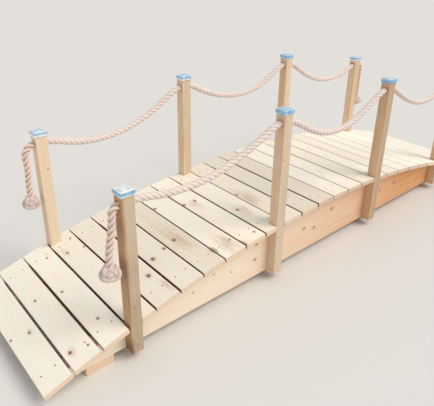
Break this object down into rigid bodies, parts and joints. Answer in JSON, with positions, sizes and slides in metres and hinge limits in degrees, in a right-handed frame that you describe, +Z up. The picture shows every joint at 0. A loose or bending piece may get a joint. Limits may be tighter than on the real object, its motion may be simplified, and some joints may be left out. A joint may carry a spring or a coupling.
{
  "type": "wooden footbridge",
  "caption": "Small arched timber footbridge with a plank deck, square capped posts and a sagging rope handrail along each side.",
  "frame": {"origin": "middle of the bridge on the ground, under the undersides of the bearers", "axes": "+X along the bridge, -Y the near side of the picture, +Z up"},
  "size_m": [3.8284, 0.95, 1.057],
  "materials": {
    "deck_timber": "planed softwood, pale and unpainted",
    "beam_timber": "planed softwood, warm and unpainted",
    "post_timber": "planed softwood, warm and unpainted",
    "cap_metal": "bright galvanised sheet",
    "rope": "laid three-strand fibre rope"
  },
  "bodies": {
    "root": {"beam_near": "beam_timber", "post_near_left_end": "post_timber", "post_near_left_inner": "post_timber", "post_near_right_inner": "post_timber", "post_near_right_end": "post_timber", "post_caps_near": "cap_metal", "rope_near": "rope", "beam_far": "beam_timber", "post_far_left_end": "post_timber", "post_far_left_inner": "post_timber", "post_far_right_inner": "post_timber", "post_far_right_end": "post_timber", "post_caps_far": "cap_metal", "rope_far": "rope", "bearer_left": "beam_timber", "knot_near_left": "rope", "knot_far_left": "rope", "bearer_right": "beam_timber", "knot_near_right": "rope", "knot_far_right": "rope", "deck_board_01": "deck_timber", "deck_board_02": "deck_timber", "deck_board_03": "deck_timber", "deck_board_04": "deck_timber", "deck_board_05": "deck_timber", "deck_board_06": "deck_timber", "deck_board_07": "deck_timber", "deck_board_08": "deck_timber", "deck_board_09": "deck_timber", "deck_board_10": "deck_timber", "deck_board_11": "deck_timber", "deck_board_12": "deck_timber", "deck_board_13": "deck_timber", "deck_board_14": "deck_timber", "deck_board_15": "deck_timber", "deck_board_16": "deck_timber", "deck_board_17": "deck_timber", "deck_board_18": "deck_timber", "deck_board_19": "deck_timber", "deck_board_20": "deck_timber", "deck_board_21": "deck_timber", "deck_board_22": "deck_timber", "deck_board_23": "deck_timber", "deck_board_24": "deck_timber", "deck_board_25": "deck_timber", "deck_board_26": "deck_timber"}
  },
  "joints": []
}
